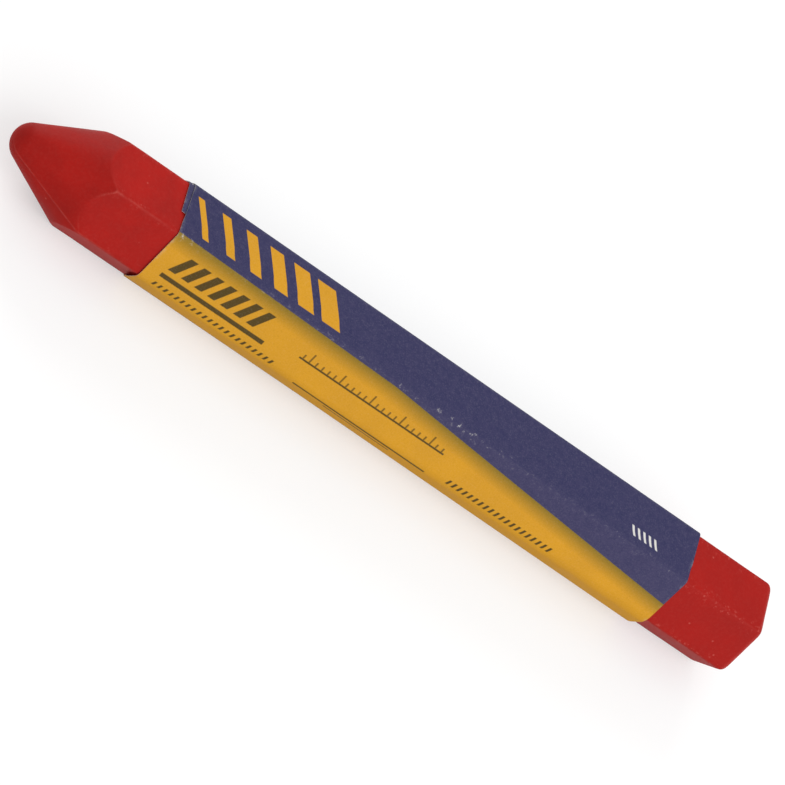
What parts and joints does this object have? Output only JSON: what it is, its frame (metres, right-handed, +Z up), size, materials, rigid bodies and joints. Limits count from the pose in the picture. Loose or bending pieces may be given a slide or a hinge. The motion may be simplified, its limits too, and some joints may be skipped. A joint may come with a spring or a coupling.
{
  "type": "marking crayon",
  "caption": "Hexagonal marking crayon: a solid wax stick with a conical tip and a round nose, in a lapped and glued paper wrapper that slides back along it.",
  "frame": {"origin": "on the surface that the crayon lies on, under the middle of its box", "axes": "+X along the stick from the tip to the butt, +Z up, out of the flat that carries the wrapper's lap"},
  "size_m": [0.1206, 0.0148, 0.0132],
  "materials": {
    "wax": "satin red wax with a slightly uneven cast surface",
    "paper": "printed paper, dull blue above and warm yellow below, white at the cut edges and inside",
    "glue": "dried pale glue"
  },
  "bodies": {
    "crayon": {"wax_stick": "wax"},
    "wrapper": {"paper_wrapper": "paper", "seam_glue": "glue"}
  },
  "joints": [
    {"name": "wrapper_slide", "type": "slide", "parent": "crayon", "child": "wrapper", "axis": [1, 0, 0], "range_m": [-0.009, 0.101]}
  ]
}
